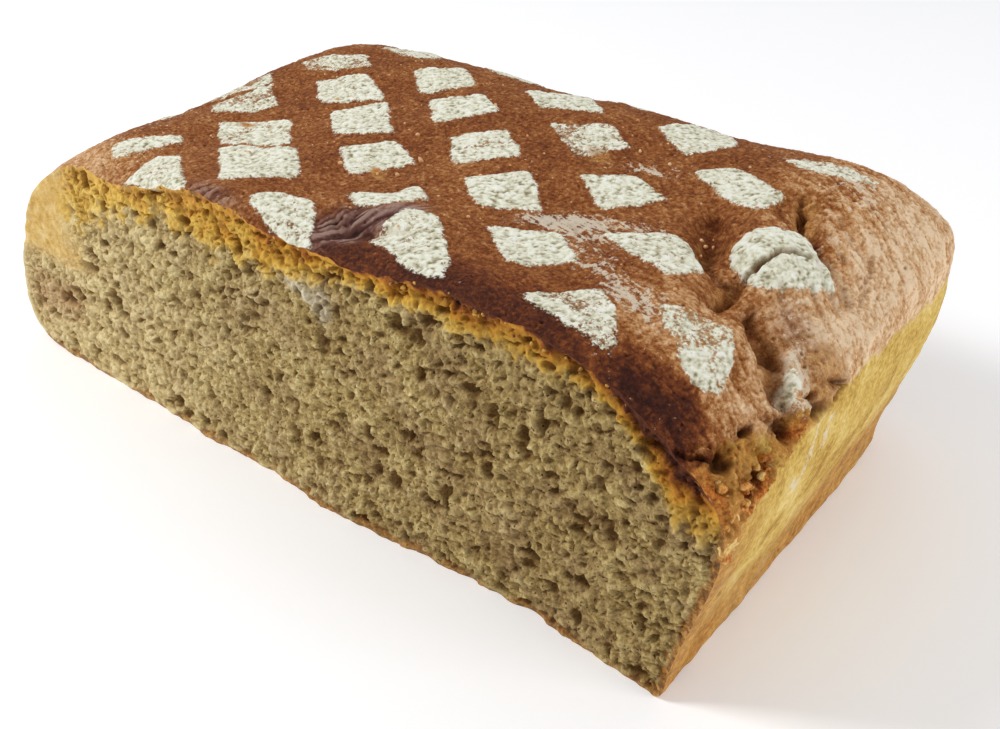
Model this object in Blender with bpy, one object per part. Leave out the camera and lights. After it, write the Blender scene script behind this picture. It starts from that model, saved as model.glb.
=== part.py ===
"""Half of a rye block loaf, cut along its length: one solid, with its torn crust and its open crumb.

The cut face looks along -Y and the crust wraps the rest. Metres, +Z up, the loaf stands on its flat base
and the origin is at the middle of its footprint.
"""

import math
import random

import bmesh
import bpy
from mathutils import Euler, Matrix, Vector, noise

# Outer form
HALF_LENGTH = 0.1318
DEPTH = 0.1330
CUT_Y = -DEPTH / 2
BACK_Y = DEPTH / 2
CROWN = 0.0875
WALL_TOP = 0.0649
RIGHT_SHOULDER = 0.0403
LEFT_SHOULDER = 0.0404
BACK_SHOULDER = 0.0438
SHOULDER_POWER = 1.7
CORNER_POWER = 3.8

# Walls: each leans out from a narrower base
RIGHT_LEAN = 0.0110
LEAN_HEIGHT = 0.056
LEFT_FOOT = 0.0119
LEFT_FOOT_HEIGHT = 0.015
LEFT_SLUMP = 0.0245
LEFT_SLUMP_POWER = 1.4
BACK_LEAN = 0.0023
BASE_EDGE = 0.004

# Dome: how far it departs from an even crown, in millimetres, at stations along x (columns) and y (rows)
DOME_X = (-0.120, -0.090, -0.060, -0.030, 0.000, 0.030, 0.060, 0.090, 0.118)
DOME_Y = (-0.065, -0.040, -0.010, 0.020, 0.050)
DOME_LIFT = (
    (-1.5, -7.8, -2.3, 0.8, -1.9, -1.5, 2.0, 0.2, -5.7),
    (-1.5, -7.3, -4.8, -2.3, -2.8, -1.4, -1.9, -2.0, -2.4),
    (-4.5, -8.3, -4.8, -2.7, -2.2, -1.6, -3.1, -2.1, -0.2),
    (-2.5, -6.6, -3.0, -2.8, -0.9, -0.6, -1.8, -0.8, 1.4),
    (-4.5, -1.1, 0.0, 0.2, -0.6, 1.3, 1.1, 2.7, 2.0),
)
CUT_ROLL = 0.0028
CUT_ROLL_REACH = 0.006

# The cut face leans back towards its top edge
CUT_LEAN = 0.0027
CUT_LEAN_FROM = 0.050
CUT_LEAN_TO = 0.085
CUT_LEAN_REACH = 0.014

# Foot of the cut face: how far its lower edge steps in or out, as (x, step)
CUT_FOOT = (
    (-0.120, 0.0),
    (-0.070, 0.0),
    (-0.045, -0.0013),
    (-0.010, -0.0006),
    (0.012, -0.0024),
    (0.045, 0.0006),
    (0.080, 0.0022),
    (0.100, 0.0),
    (0.118, -0.0015),
)
CUT_FOOT_HEIGHT = 0.016

# Mesh grid
COARSE_STEP = 0.0066
FINE_STEP = 0.0050
FINE_FROM_X = 0.020
DEPTH_STEP = 0.0056
HEIGHT_STEPS = (0.003, 0.009, 0.018, 0.028, 0.038, 0.047, 0.055, 0.0625, 0.0690, 0.0745, 0.0795, 0.0838)

# Relief of the top crust: (x, y, reach along, reach across, turn in degrees, depth)
DENTS = (
    (0.087, -0.001, 0.009, 0.0055, -60, 0.0035),
    (0.093, -0.009, 0.008, 0.0050, -50, 0.0040),
    (0.102, -0.019, 0.011, 0.0050, -70, 0.0045),
    (0.1175, -0.027, 0.011, 0.0060, -75, 0.0040),
    (0.103, 0.016, 0.007, 0.0040, -60, 0.0040),
    (0.016, -0.054, 0.012, 0.0060, 15, 0.0025),
)
SWELLS = (
    (0.108, -0.004, 0.013, 0.0110, 40, 0.0022),
    (0.080, -0.028, 0.018, 0.0120, 40, 0.0012),
    (0.026, -0.044, 0.010, 0.0070, 10, 0.0015),
    (0.108, 0.026, 0.018, 0.0140, 0, 0.0015),
)
TOP_WAVE = 0.0011
TOP_WAVE_LENGTH = 0.038
WALL_WAVE = 0.0009
WALL_WAVE_LENGTH = 0.030
CRUMB_WAVE = 0.0005
CRUMB_WAVE_LENGTH = 0.011
EDGE_FADE = 0.006
WALL_FADE_LOW = 0.010
WALL_FADE_HIGH = 0.018

# Tear between the top crust and the right wall
TEAR_HEIGHTS = (0.0700, 0.0650)
TEAR_FRONT = CUT_Y + 0.004
TEAR_BACK = -0.002
TEAR_STEP = 0.0052
TEAR_DEPTHS = (0.0042, 0.0020)
TEAR_GAPS = (0.0025, 0.0016)
TEAR_INSET = 0.0016
TEAR_SWAY = 0.0008
TEAR_OVERLAP = 0.80
CRAG_SINK = 0.30
CRAG_SIZE = (0.85, 1.0, 0.8)
CRAGS = (
    (-0.0600, 0.0580, 0.0046),
    (-0.0530, 0.0595, 0.0050),
    (-0.0465, 0.0620, 0.0042),
    (-0.0400, 0.0632, 0.0034),
    (-0.0340, 0.0640, 0.0026),
)
SPLIT_LENGTH = 0.021
SPLIT_PLACE = (0.1080, -0.0075)
SPLIT_TURN = 64
SPLIT_LUMPS = 4
SPLIT_WIDTH = 0.0015
SPLIT_DEPTH = 0.0030
SPLIT_OVERLAP = 0.85

# Open pores on the cut face: the largest, as (x, z, radius), and how many smaller ones
LARGE_PORES = (
    (0.0155, 0.0570, 0.0042),
    (0.1028, 0.0449, 0.0026),
    (0.0807, 0.0539, 0.0028),
    (0.0370, 0.0220, 0.0030),
    (-0.0010, 0.0200, 0.0032),
    (0.0460, 0.0360, 0.0026),
    (-0.0770, 0.0350, 0.0034),
    (-0.0870, 0.0430, 0.0034),
    (-0.1050, 0.0250, 0.0040),
    (-0.0450, 0.0470, 0.0026),
)
SMALL_PORES = 34
SMALL_PORE_RADIUS = (0.0014, 0.0026)
CRUST_PORES = 16
CRUST_PORE_RADIUS = (0.0017, 0.0029)
CRUST_PORE_DROP = 0.0075
CRUST_PORE_SPAN = (-0.100, 0.105)
PORE_RIM = 0.012
PORE_GAP = 1.6
PORE_WALL = 0.0012
PORE_SINK = 0.15
EDGE_PROBE = 0.0035
LUMPY = 0.25
ROUGH = 0.5
SEED = 41

# Edges shorter than this, left by the joins, are closed up
SLIVER = 0.00002
SHARP_ANGLE = 50

CRUST_COLOUR = (0.30, 0.11, 0.045, 1.0)


def between(ends, share):
    return ends[0] + (ends[1] - ends[0]) * share


def smooth_step(t):
    t = min(max(t, 0.0), 1.0)
    return t * t * (3 - 2 * t)


def clear_scene():
    for item in list(bpy.data.objects):
        bpy.data.objects.remove(item, do_unlink=True)


def new_collection(name):
    collection = bpy.data.collections.new(name)
    bpy.context.scene.collection.children.link(collection)
    return collection


def right_reach(z):
    """How far the right wall stands from the middle at height z."""
    return HALF_LENGTH - RIGHT_LEAN * (1 - smooth_step(z / LEAN_HEIGHT))


def left_reach(z):
    """The left end slumps: rounded under at the foot, and leaning in above it."""
    if z < LEFT_FOOT_HEIGHT:
        rise = 1 - z / LEFT_FOOT_HEIGHT
        return HALF_LENGTH - LEFT_FOOT * (1 - math.sqrt(1 - rise * rise))
    lean = (z - LEFT_FOOT_HEIGHT) / (WALL_TOP - LEFT_FOOT_HEIGHT)
    return HALF_LENGTH - LEFT_SLUMP * lean**LEFT_SLUMP_POWER


def back_reach(z):
    return DEPTH - BACK_LEAN * (1 - smooth_step(z / LEAN_HEIGHT))


def cut_lean(z):
    """How far back from its foot the cut face is at height z."""
    return CUT_LEAN * smooth_step((z - CUT_LEAN_FROM) / (CUT_LEAN_TO - CUT_LEAN_FROM))


def base_inset(z):
    """The small rounding where the walls meet the base."""
    rise = max(0.0, 1 - z / BASE_EDGE)
    return BASE_EDGE * 0.6 * (1 - math.sqrt(max(0.0, 1 - rise * rise)))


def rounded_box(p):
    """Rounds the box's upper edges into shoulders and its two back corners in plan."""
    side, shoulder = (1, RIGHT_SHOULDER) if p.x > 0 else (-1, LEFT_SHOULDER)
    fx = max(0.0, (abs(p.x) - HALF_LENGTH + shoulder) / shoulder)
    fy = max(0.0, (p.y - BACK_Y + BACK_SHOULDER) / BACK_SHOULDER)
    fz = max(0.0, (p.z - WALL_TOP) / (CROWN - WALL_TOP))
    plan = (fx**CORNER_POWER + fy**CORNER_POWER) ** (1 / CORNER_POWER)
    spread = (plan**SHOULDER_POWER + fz**SHOULDER_POWER) ** (1 / SHOULDER_POWER)
    if spread == 0:
        return p.copy()
    keep = max(fx, fy, fz) / spread - 1
    return Vector(
        (
            p.x + side * fx * keep * shoulder,
            p.y + fy * keep * BACK_SHOULDER,
            p.z + fz * keep * (CROWN - WALL_TOP),
        )
    )


def lean_walls(p):
    reach = right_reach(p.z) if p.x > 0 else left_reach(p.z)
    inset = base_inset(p.z)
    from_cut = (p.y - CUT_Y) * (back_reach(p.z) - inset) / DEPTH
    from_cut += cut_lean(p.z) * (1 - smooth_step(from_cut / CUT_LEAN_REACH))
    return Vector((p.x * (reach - inset) / HALF_LENGTH, CUT_Y + from_cut, p.z))


def spot(x, y, place):
    """1 at the middle of a dent or swell, fading to 0 at its edge."""
    cx, cy, along, across, turn, _ = place
    angle = math.radians(turn)
    dx, dy = x - cx, y - cy
    u = (dx * math.cos(angle) + dy * math.sin(angle)) / along
    v = (-dx * math.sin(angle) + dy * math.cos(angle)) / across
    return math.exp(-(u * u + v * v))


def wave(p, length, seed):
    return noise.noise(p / length + Vector((seed, seed * 1.7, -seed)))


def station(places, value):
    """Which interval of the stations a value is in, and its share of it."""
    value = min(max(value, places[0]), places[-1])
    index = max(i for i in range(len(places) - 1) if places[i] <= value)
    return index, (value - places[index]) / (places[index + 1] - places[index])


def curve(values, index, t):
    """A smooth curve through evenly read values, at share t of interval index."""
    before, start = values[max(index - 1, 0)], values[index]
    end, after = values[index + 1], values[min(index + 2, len(values) - 1)]
    cubic = 3 * (start - end) + after - before
    bend = 2 * before - 5 * start + 4 * end - after
    return start + 0.5 * t * (end - before + t * (bend + t * cubic))


def dome_lift(x, y):
    column, share_x = station(DOME_X, x)
    row, share_y = station(DOME_Y, y)
    return curve([curve(line, column, share_x) for line in DOME_LIFT], row, share_y) / 1000


def along(table, x):
    """Value of a table of (x, value) at x, eased between its entries."""
    if x <= table[0][0]:
        return table[0][1]
    for (x0, v0), (x1, v1) in zip(table, table[1:]):
        if x <= x1:
            return v0 + (v1 - v0) * smooth_step((x - x0) / (x1 - x0))
    return table[-1][1]


def top_lift(p):
    """Height added to the crust above the plain dome."""
    lift = dome_lift(p.x, p.y) - CUT_ROLL * math.exp(-(p.y - CUT_Y) / CUT_ROLL_REACH)
    lift -= sum(place[5] * spot(p.x, p.y, place) for place in DENTS)
    lift += sum(place[5] * spot(p.x, p.y, place) for place in SWELLS)
    lift += TOP_WAVE * wave(p, TOP_WAVE_LENGTH, 3.0)
    return lift


def loaf_form(p):
    """Where a point of the plain box goes on the loaf."""
    q = rounded_box(p)
    q.z += top_lift(q) * smooth_step((q.z - WALL_TOP / 2) / (WALL_TOP / 2))
    q = lean_walls(q)
    upright = smooth_step(q.z / WALL_FADE_LOW) * (1 - smooth_step((q.z - WALL_TOP) / WALL_FADE_HIGH))
    push = WALL_WAVE * wave(q, WALL_WAVE_LENGTH, 7.0) * upright
    if abs(p.x) > HALF_LENGTH - 1e-6:
        q.x += push
    elif p.y > BACK_Y - 1e-6:
        q.y += push
    elif p.y < CUT_Y + 1e-6:
        inner = smooth_step(q.z / EDGE_FADE) * smooth_step((CROWN - p.z) / EDGE_FADE)
        inner *= smooth_step((HALF_LENGTH - abs(p.x)) / EDGE_FADE)
        q.y += CRUMB_WAVE * (wave(q, CRUMB_WAVE_LENGTH, 11.0) + 1) * inner
        q.y += along(CUT_FOOT, q.x) * (1 - smooth_step(q.z / CUT_FOOT_HEIGHT))
    return q


def grid_lines(low, high, step):
    count = max(1, round((high - low) / step))
    return [low + (high - low) * i / count for i in range(1, count)]


def box_grid():
    """The plain box, sliced along each axis so that its surface can be shaped."""
    mesh = bmesh.new()
    bmesh.ops.create_cube(mesh, size=1.0)
    size = Matrix.Diagonal((2 * HALF_LENGTH, DEPTH, CROWN, 1.0))
    bmesh.ops.transform(mesh, matrix=Matrix.Translation((0, 0, CROWN / 2)) @ size, verts=mesh.verts)
    across = grid_lines(-HALF_LENGTH, FINE_FROM_X, COARSE_STEP) + [FINE_FROM_X]
    across += grid_lines(FINE_FROM_X, HALF_LENGTH, FINE_STEP)
    slices = [(Vector((x, 0, 0)), Vector((1, 0, 0))) for x in across]
    slices += [(Vector((0, y, 0)), Vector((0, 1, 0))) for y in grid_lines(CUT_Y, BACK_Y, DEPTH_STEP)]
    slices += [(Vector((0, 0, z)), Vector((0, 0, 1))) for z in HEIGHT_STEPS]
    for place, normal in slices:
        everything = mesh.verts[:] + mesh.edges[:] + mesh.faces[:]
        bmesh.ops.bisect_plane(mesh, geom=everything, plane_co=place, plane_no=normal, dist=1e-6)
    return mesh


def dissolve_base(mesh):
    """The base is one flat face inside its rim."""
    base = [f for f in mesh.faces if all(abs(v.co.z) < 1e-7 for v in f.verts)]
    bmesh.ops.dissolve_faces(mesh, faces=base, use_verts=True)


def loaf_object(collection):
    mesh = box_grid()
    for vertex in mesh.verts:
        vertex.co = loaf_form(vertex.co)
    dissolve_base(mesh)
    bmesh.ops.recalc_face_normals(mesh, faces=mesh.faces)
    data = bpy.data.meshes.new("loaf")
    mesh.to_mesh(data)
    mesh.free()
    loaf = bpy.data.objects.new("loaf", data)
    collection.objects.link(loaf)
    loaf.data.materials.append(crust_material())
    return loaf


def crust_material():
    material = bpy.data.materials.new("crust")
    material.use_nodes = True
    shader = material.node_tree.nodes["Principled BSDF"]
    shader.inputs["Base Color"].default_value = CRUST_COLOUR
    shader.inputs["Roughness"].default_value = 0.75
    return material


def blob(collection, name, place, size, turn, rng, roughness=LUMPY):
    """A lumpy ball, used as a crag or as the inside of a pore."""
    mesh = bmesh.new()
    bmesh.ops.create_icosphere(mesh, subdivisions=1, radius=1.0)
    shift = Vector((rng.uniform(-9, 9), rng.uniform(-9, 9), rng.uniform(-9, 9)))
    for vertex in mesh.verts:
        vertex.co *= 1 + roughness * noise.noise(vertex.co * 1.3 + shift)
    stretch = Matrix.Diagonal((*size, 1.0))
    bmesh.ops.transform(mesh, matrix=turn.to_matrix().to_4x4() @ stretch, verts=mesh.verts)
    data = bpy.data.meshes.new(name)
    mesh.to_mesh(data)
    mesh.free()
    item = bpy.data.objects.new(name, data)
    item.location = place
    item.hide_render = True
    item.display_type = "WIRE"
    collection.objects.link(item)
    return item


def any_turn(rng):
    return Euler((rng.uniform(0, math.pi), rng.uniform(0, math.pi), rng.uniform(0, math.pi)))


def add_crags(collection, rng):
    """Browned lumps of crumb that stand out under the torn crust at the near corner."""
    for index, (y, z, radius) in enumerate(CRAGS):
        place = (right_reach(z) - radius * CRAG_SINK, y, z)
        size = [radius * share for share in CRAG_SIZE]
        blob(collection, f"crag_{index}", place, size, Euler((rng.uniform(-0.5, 0.5), 0, 0)), rng, ROUGH)


def add_tear(collection, rng):
    """A row of ragged cavities between the top crust and the right wall, closing towards the back."""
    count = round((TEAR_BACK - TEAR_FRONT) / TEAR_STEP)
    for index in range(count):
        share = index / (count - 1)
        y = between((TEAR_FRONT, TEAR_BACK), share)
        z = between(TEAR_HEIGHTS, share) + rng.uniform(-TEAR_SWAY, TEAR_SWAY)
        depth = between(TEAR_DEPTHS, share) * rng.uniform(0.8, 1.15)
        gap = between(TEAR_GAPS, share) * rng.uniform(0.75, 1.25)
        place = (right_reach(z) - TEAR_INSET, y, z)
        size = (depth, TEAR_STEP * TEAR_OVERLAP, gap)
        blob(collection, f"tear_{index}", place, size, Euler((rng.uniform(-0.3, 0.3), 0, 0)), rng, ROUGH)


def add_split(collection, rng):
    """The narrow split that opened across one floured diamond."""
    turn = Euler((0, 0, math.radians(SPLIT_TURN)))
    pitch = SPLIT_LENGTH / SPLIT_LUMPS
    for index in range(SPLIT_LUMPS):
        step = (index - (SPLIT_LUMPS - 1) / 2) * pitch
        x = SPLIT_PLACE[0] + step * math.cos(turn.z)
        y = SPLIT_PLACE[1] + step * math.sin(turn.z)
        place = (x, y, top_height(x, y) - SPLIT_DEPTH / 5)
        size = (pitch * SPLIT_OVERLAP, SPLIT_WIDTH, SPLIT_DEPTH)
        blob(collection, f"split_{index}", place, size, turn, rng)


def top_height(x, y):
    """Height of the loaf's top above a point of its plan, by ray through the finished form."""
    hit, place, _, _ = bpy.data.objects["loaf"].ray_cast(Vector((x, y, 1.0)), Vector((0, 0, -1)))
    return place.z if hit else CROWN


def edge_height(x):
    """Height of the cut face at x."""
    return top_height(x, CUT_Y + EDGE_PROBE)


def inside_cut(x, z, rim):
    reach = right_reach(z) if x > 0 else left_reach(z)
    return rim < z < edge_height(x) - rim and abs(x) < reach - rim


def add_pores(collection, rng):
    """Gas holes that the knife opened: most in the crumb, some in the browned band under the crust."""
    holes = list(LARGE_PORES)
    while len(holes) < len(LARGE_PORES) + SMALL_PORES:
        x, z = rng.uniform(-HALF_LENGTH, HALF_LENGTH), rng.uniform(0, CROWN)
        radius = rng.uniform(*SMALL_PORE_RADIUS)
        clear = all(math.hypot(x - a, z - b) > PORE_GAP * (radius + r) for a, b, r in holes)
        if clear and inside_cut(x, z, PORE_RIM):
            holes.append((x, z, radius))
    for index in range(CRUST_PORES):
        x = between(CRUST_PORE_SPAN, (index + rng.uniform(0.2, 0.8)) / CRUST_PORES)
        z = edge_height(x) - CRUST_PORE_DROP + rng.uniform(-0.002, 0.001)
        radius = rng.uniform(*CRUST_PORE_RADIUS)
        if all(math.hypot(x - a, z - b) > radius + r + PORE_WALL for a, b, r in holes):
            holes.append((x, z, radius))
    for index, (x, z, radius) in enumerate(holes):
        size = (radius, radius * rng.uniform(0.9, 1.3), radius * rng.uniform(0.65, 1.0))
        place = (x, CUT_Y + cut_lean(z) + CRUMB_WAVE + radius * PORE_SINK, z)
        tilt = Euler((0, rng.uniform(-0.8, 0.8), 0))
        blob(collection, f"pore_{index}", place, size, tilt, rng)


def join_all(loaf, collection, operation):
    """One Boolean with a whole collection, applied, and the collection's objects removed."""
    step = loaf.modifiers.new(operation.lower(), "BOOLEAN")
    step.operation = operation
    step.operand_type = "COLLECTION"
    step.collection = collection
    step.solver = "MANIFOLD"
    graph = bpy.context.evaluated_depsgraph_get()
    made = bpy.data.meshes.new_from_object(loaf.evaluated_get(graph))
    loaf.modifiers.clear()
    loaf.data = made
    for item in list(collection.objects):
        bpy.data.objects.remove(item, do_unlink=True)


def tidy_mesh(loaf):
    """Merges the slivers that the joins leave and drops any scrap that they cut loose."""
    mesh = bmesh.new()
    mesh.from_mesh(loaf.data)
    bmesh.ops.triangulate(mesh, faces=mesh.faces)
    bmesh.ops.dissolve_degenerate(mesh, dist=SLIVER, edges=mesh.edges)
    keep = largest_body(mesh)
    bmesh.ops.delete(mesh, geom=[v for v in mesh.verts if v not in keep], context="VERTS")
    bmesh.ops.triangulate(mesh, faces=mesh.faces)
    mesh.to_mesh(loaf.data)
    mesh.free()


def largest_body(mesh):
    """The vertices of the biggest connected body."""
    left, best = set(mesh.verts), set()
    while left:
        seed = left.pop()
        found, front = {seed}, [seed]
        while front:
            near = {e.other_vert(v) for v in front for e in v.link_edges} - found
            found |= near
            front = list(near)
        left -= found
        best = max(best, found, key=len)
    return best


def centre_on_base(loaf):
    """Moves the mesh so that the middle of its footprint is the origin and its base is at height 0."""
    points = [v.co for v in loaf.data.vertices]
    low = Vector([min(p[i] for p in points) for i in range(3)])
    high = Vector([max(p[i] for p in points) for i in range(3)])
    middle = (low + high) / 2
    loaf.data.transform(Matrix.Translation((-middle.x, -middle.y, -low.z)))


def main():
    clear_scene()
    rng = random.Random(SEED)
    loaf = loaf_object(new_collection("rye_bread"))
    added = new_collection("crags")
    cutters = new_collection("cavities")
    add_crags(added, rng)
    bpy.context.view_layer.update()
    add_tear(cutters, rng)
    add_split(cutters, rng)
    add_pores(cutters, rng)
    bpy.context.view_layer.update()
    join_all(loaf, added, "UNION")
    join_all(loaf, cutters, "DIFFERENCE")
    tidy_mesh(loaf)
    centre_on_base(loaf)
    loaf.data.shade_smooth()
    loaf.data.set_sharp_from_angle(angle=math.radians(SHARP_ANGLE))


main()
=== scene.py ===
import math

import bpy
import numpy as np
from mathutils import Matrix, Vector


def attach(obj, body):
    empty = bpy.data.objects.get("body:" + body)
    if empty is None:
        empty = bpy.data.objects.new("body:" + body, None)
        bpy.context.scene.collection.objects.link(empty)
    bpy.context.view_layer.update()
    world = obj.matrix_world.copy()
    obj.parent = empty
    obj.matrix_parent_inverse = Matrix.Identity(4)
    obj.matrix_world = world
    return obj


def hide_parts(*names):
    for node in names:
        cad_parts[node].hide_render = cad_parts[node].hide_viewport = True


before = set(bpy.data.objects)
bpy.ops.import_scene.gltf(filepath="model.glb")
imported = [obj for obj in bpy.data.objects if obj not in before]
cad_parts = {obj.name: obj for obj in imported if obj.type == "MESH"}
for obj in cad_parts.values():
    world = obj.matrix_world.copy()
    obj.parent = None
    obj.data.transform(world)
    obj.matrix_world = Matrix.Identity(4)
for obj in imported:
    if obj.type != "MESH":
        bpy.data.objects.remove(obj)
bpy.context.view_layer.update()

# The photographer's place: a little above the loaf, off its torn right corner, with a pale studio round it.
# A soft light hangs behind and over the loaf, a key light stands high on the left and a fill on the right.
CAMERA_PLACE = (0.210114, -0.227619, 0.230977)
CAMERA_TURN = (0.941257, 0.033055, 0.67832)
LENS = 43.558
FLOOR_SIZE = 6.0
FLOOR_COLOUR = (0.93, 0.93, 0.93, 1.0)
FLOOR_GLOW = 0.16
WORLD_GREY = (0.94, 0.95, 1.0, 1.0)
WORLD_STRENGTH = 0.42
# Area lights: name, place, target, size, power
LIGHTS = (
    ("overhead", (0.05, 0.55, 1.15), (0.0, 0.0, 0.03), 0.8, 1.6),
    ("left_key", (-0.62, -0.42, 0.78), (-0.05, -0.06, 0.04), 0.3, 6.6),
    ("right_side", (1.1, 0.2, 0.45), (0.05, 0.0, 0.04), 0.5, 4.6),
)

bpy.ops.object.camera_add(location=CAMERA_PLACE, rotation=CAMERA_TURN)
camera = bpy.context.object
camera.data.lens = LENS
camera.data.clip_start = 0.01
bpy.context.scene.camera = camera
bpy.context.scene.view_settings.view_transform = "Standard"

world = bpy.data.worlds.new("studio")
world.use_nodes = True
world.node_tree.nodes["Background"].inputs["Color"].default_value = WORLD_GREY
world.node_tree.nodes["Background"].inputs["Strength"].default_value = WORLD_STRENGTH
bpy.context.scene.world = world

for name, place, target, size, power in LIGHTS:
    bpy.ops.object.light_add(type="AREA", location=place)
    light = bpy.context.object
    light.name = name
    light.data.size = size
    light.data.energy = power
    light.rotation_euler = (Vector(target) - Vector(place)).to_track_quat("-Z", "Y").to_euler()

bpy.ops.mesh.primitive_plane_add(size=FLOOR_SIZE)
floor = bpy.context.object
floor.name = "floor"
floor_paint = bpy.data.materials.new("floor_paint")
floor_paint.use_nodes = True
floor_shader = floor_paint.node_tree.nodes["Principled BSDF"]
floor_shader.inputs["Base Color"].default_value = FLOOR_COLOUR
floor_shader.inputs["Roughness"].default_value = 0.9
floor_shader.inputs["Emission Color"].default_value = (1.0, 1.0, 1.0, 1.0)
floor_shader.inputs["Emission Strength"].default_value = FLOOR_GLOW
floor.data.materials.append(floor_paint)

# The cut face: the loaf's crumb, opened along its length by a knife. Rye crumb is moist and close, with
# rounded lumps round small gas holes, and it turns golden and coarser in a band under the top crust.
HALF_LENGTH = 0.1318
DEPTH = 0.133
CUT_Y = -DEPTH / 2
BACK_Y = DEPTH / 2
CROWN = 0.0875
WALL_TOP = 0.0649
RIGHT_SHOULDER = 0.0403
LEFT_SHOULDER = 0.0404
BACK_SHOULDER = 0.0438
SHOULDER_POWER = 1.7
CORNER_POWER = 3.8
RIGHT_LEAN = 0.011
LEAN_HEIGHT = 0.056
LEFT_FOOT = 0.0119
LEFT_FOOT_HEIGHT = 0.015
LEFT_SLUMP = 0.0245
LEFT_SLUMP_POWER = 1.4
BACK_LEAN = 0.0023
BASE_EDGE = 0.004
CUT_ROLL = 0.0028
CUT_ROLL_REACH = 0.006
CUT_LEAN = 0.0027
CUT_LEAN_FROM = 0.05
CUT_LEAN_TO = 0.085
CUT_LEAN_REACH = 0.014
CUT_FOOT_X = (-0.07, -0.045, -0.01, 0.012, 0.045, 0.08, 0.1, 0.118)
CUT_FOOT = (0.0, -0.0013, -0.0006, -0.0024, 0.0006, 0.0022, 0.0, -0.0015)
CUT_FOOT_HEIGHT = 0.016
TOP_WAVE = 0.0006
# How far the dome departs from an even crown, in millimetres, at stations along the loaf and across it
DOME_X = np.array((-0.12, -0.09, -0.06, -0.03, 0.0, 0.03, 0.06, 0.09, 0.118))
DOME_Y = np.array((-0.065, -0.04, -0.01, 0.02, 0.05))
DOME_LIFT = np.array((
    (-1.5, -7.8, -2.3, 0.8, -1.9, -1.5, 2.0, 0.2, -5.7),
    (-1.5, -7.3, -4.8, -2.3, -2.8, -1.4, -1.9, -2.0, -2.4),
    (-4.5, -8.3, -4.8, -2.7, -2.2, -1.6, -3.1, -2.1, -0.2),
    (-2.5, -6.6, -3.0, -2.8, -0.9, -0.6, -1.8, -0.8, 1.4),
    (-4.5, -1.1, 0.0, 0.2, -0.6, 1.3, 1.1, 2.7, 2.0),
))
# Dents (negative) and swells of the top, in millimetres: x, y, reach along, reach across, turn in degrees,
# height. The other tables of spots and holes are in millimetres too.
TOP_SPOTS = (
    (87, -1, 9, 5.5, -60, -3.5),
    (93, -9, 8, 5, -50, -4),
    (102, -19, 11, 5, -70, -4.5),
    (117.5, -27, 11, 6, -75, -4),
    (103, 16, 7, 4, -60, -4),
    (16, -54, 12, 6, 15, -2.5),
    (108, -4, 13, 11, 40, 2.2),
    (80, -28, 18, 12, 40, 1.2),
    (26, -44, 10, 7, 10, 1.5),
    (108, 26, 18, 14, 0, 1.5),
    (115, -33.5, 7, 3.6, -48, 2),
)
# The middle of the footprint, measured from where the tables above count from
MIDDLE = np.array((0.001526, -0.001013, 0.0))
LOAF_CENTRE = (0.0, 0.0, 0.042)
SKIRT = 0.9

# The crumb's surface
CRUMB_STEP = 0.0003
CRUMB_PIECES = 3
EDGE_FADE = 0.0022
RAGGED = 0.0007
# Where the golden band under the crust begins, as (x, height) along the cut
BAND_X = (-0.118, -0.105, -0.095, -0.08, -0.06, -0.04, -0.01, 0.01, 0.02, 0.06, 0.1, 0.115, 0.12)
BAND_FLOOR = (0.045, 0.054, 0.058, 0.062, 0.069, 0.072, 0.071, 0.071, 0.0768, 0.0785, 0.0765, 0.0665, 0.061)
# The largest gas holes: x, z, half width, half height
LARGE_HOLES = (
    (15.5, 57, 2.4, 5.2),
    (102.8, 44.9, 2.4, 2),
    (80.7, 53.9, 2.4, 2.6),
    (37, 22, 2.6, 2.8),
    (-1, 20, 1.7, 5.2),
    (46, 36, 2.2, 2.6),
    (-77, 35, 3.2, 3.4),
    (-87, 43, 4.4, 2.6),
    (-105, 25, 5, 2.8),
    (-99, 30, 3.4, 2.4),
    (-45, 47, 2.6, 2),
    (-55, 7, 3, 2.8),
    (-55, 34, 2.4, 1.8),
    (8, 14, 1.8, 2.6),
    (-16, 67, 2.6, 2.2),
    (63, 44, 2.2, 1.8),
    (116, 69, 3.8, 1.4),
    (121, 65, 2.4, 1.3),
    (124, 60, 1.2, 2.6),
)
HOLE_DEPTH = 0.9
# The crumb's unevenness: height, size of the lumps, seed
CRUMB_GRAIN = ((0.0004, 0.0052, 63), (0.00034, 0.0021, 65), (0.00026, 0.0011, 66), (0.00016, 0.0007, 64))
# Rosy patches and pale smears on the cut: x, z, reach along, reach up, turn, how much
ROSY_PATCHES = ((-107, 24, 12, 8, 20, 0.55), (-122, 22, 6, 14, 0, 0.35))
SMEARS = ((16, 67, 4.5, 8, 0, 0.62), (6, 70.5, 8, 2.8, -8, 0.6))


def smooth(t):
    """Eases from 0 to 1 as t does."""
    t = np.clip(t, 0.0, 1.0)
    return t * t * (3 - 2 * t)


def scatter(i, j, k, seed):
    """A fixed random value from 0 to 1 for every cell of a lattice."""
    mask = 0xFFFFFFFF
    h = (i * 374761393 + j * 668265263 + k * 362437 + seed * 1274126177) & mask
    h = ((h ^ (h >> 13)) * 1103515245) & mask
    h = ((h ^ (h >> 16)) * 22695477) & mask
    return ((h >> 8) & 0xFFFF) / 65535.0


def points_at(u, v, w=None):
    """Points from their coordinates, in a plane where the third isn't given."""
    return np.stack((u, v, u * 0 if w is None else w), axis=1)


def grain(points, size, seed):
    """Smooth unevenness from -1 to 1 with lumps of about the given size."""
    q = points / size
    cell = np.floor(q).astype(np.int64)
    t = q - cell
    t = t * t * (3 - 2 * t)
    total = 0.0
    for corner in range(8):
        step = np.array((corner & 1, corner >> 1 & 1, corner >> 2))
        share = np.prod(np.where(step == 1, t, 1 - t), axis=1)
        i, j, k = (cell + step).T
        total = total + share * scatter(i, j, k, seed)
    return total * 2 - 1


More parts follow.
